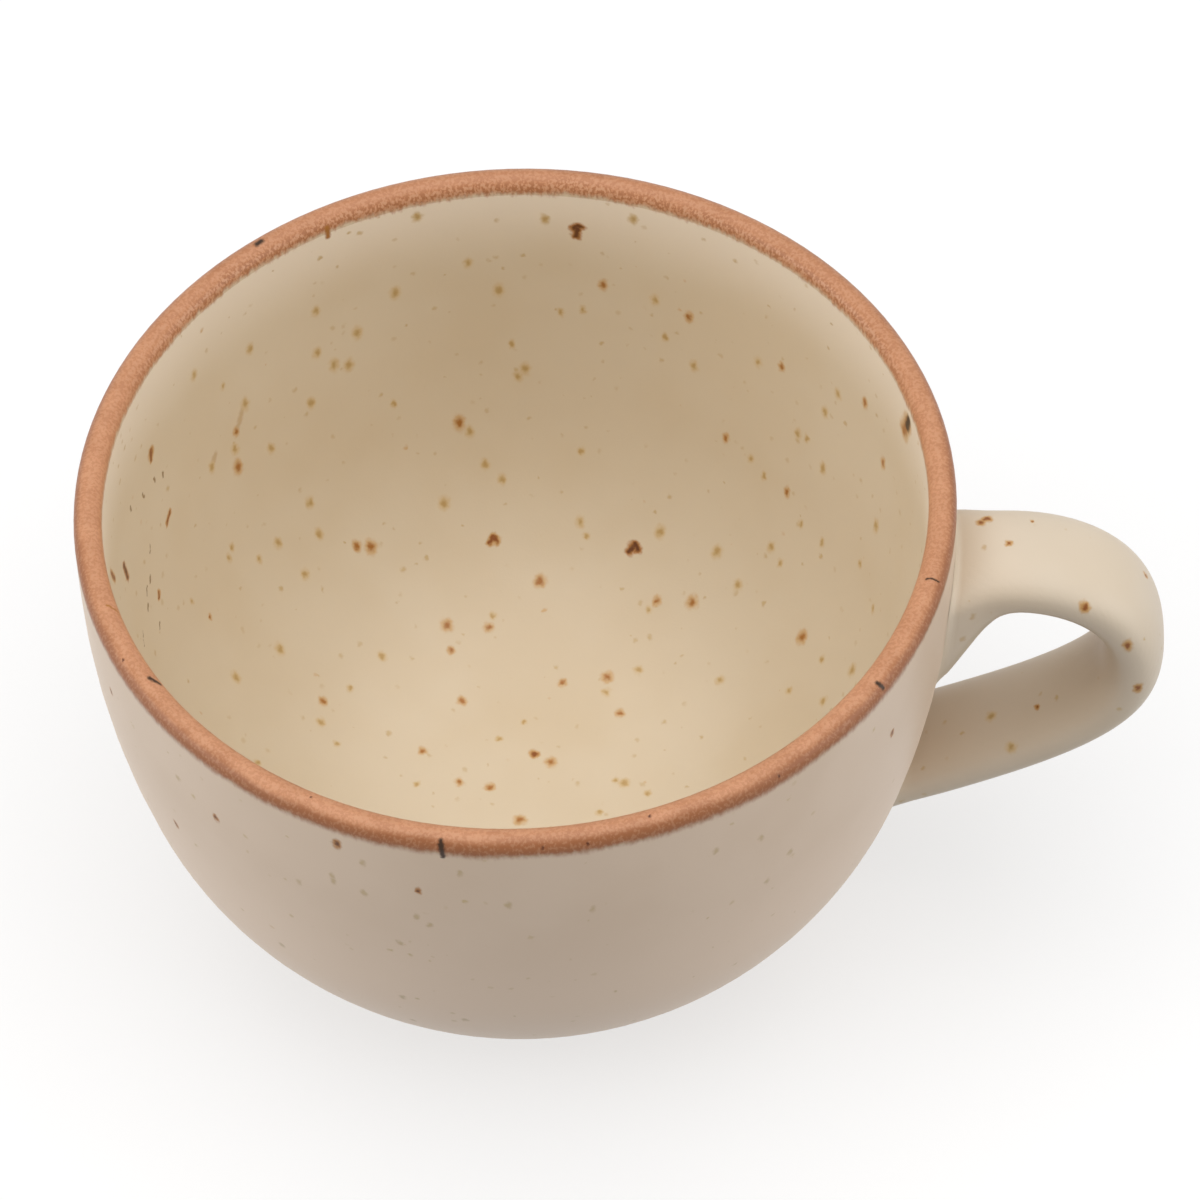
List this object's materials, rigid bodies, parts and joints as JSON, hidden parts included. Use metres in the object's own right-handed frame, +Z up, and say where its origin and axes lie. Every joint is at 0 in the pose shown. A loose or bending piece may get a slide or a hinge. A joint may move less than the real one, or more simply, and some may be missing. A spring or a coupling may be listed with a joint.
{
  "type": "cappuccino cup",
  "caption": "Round stoneware cappuccino cup on a low foot ring with a loop handle, speckled cream glaze and a terracotta band on the lip.",
  "frame": {"origin": "on the bowl's axis, at the plane of the foot ring that stands on the table", "axes": "+Z up along the bowl's axis, +X towards the handle"},
  "size_m": [0.1172, 0.094, 0.062],
  "materials": {
    "stoneware": "matte",
    "slip": "matte",
    "cream_glaze": "satin",
    "terracotta_glaze": "satin"
  },
  "bodies": {
    "root": {"cup_body": "stoneware", "handle": "stoneware", "upper_slip_joint": "slip", "lower_slip_joint": "slip", "inner_glaze": "cream_glaze", "outer_glaze": "cream_glaze", "base_glaze": "cream_glaze", "handle_glaze": "cream_glaze", "rim_band": "terracotta_glaze"}
  },
  "joints": []
}
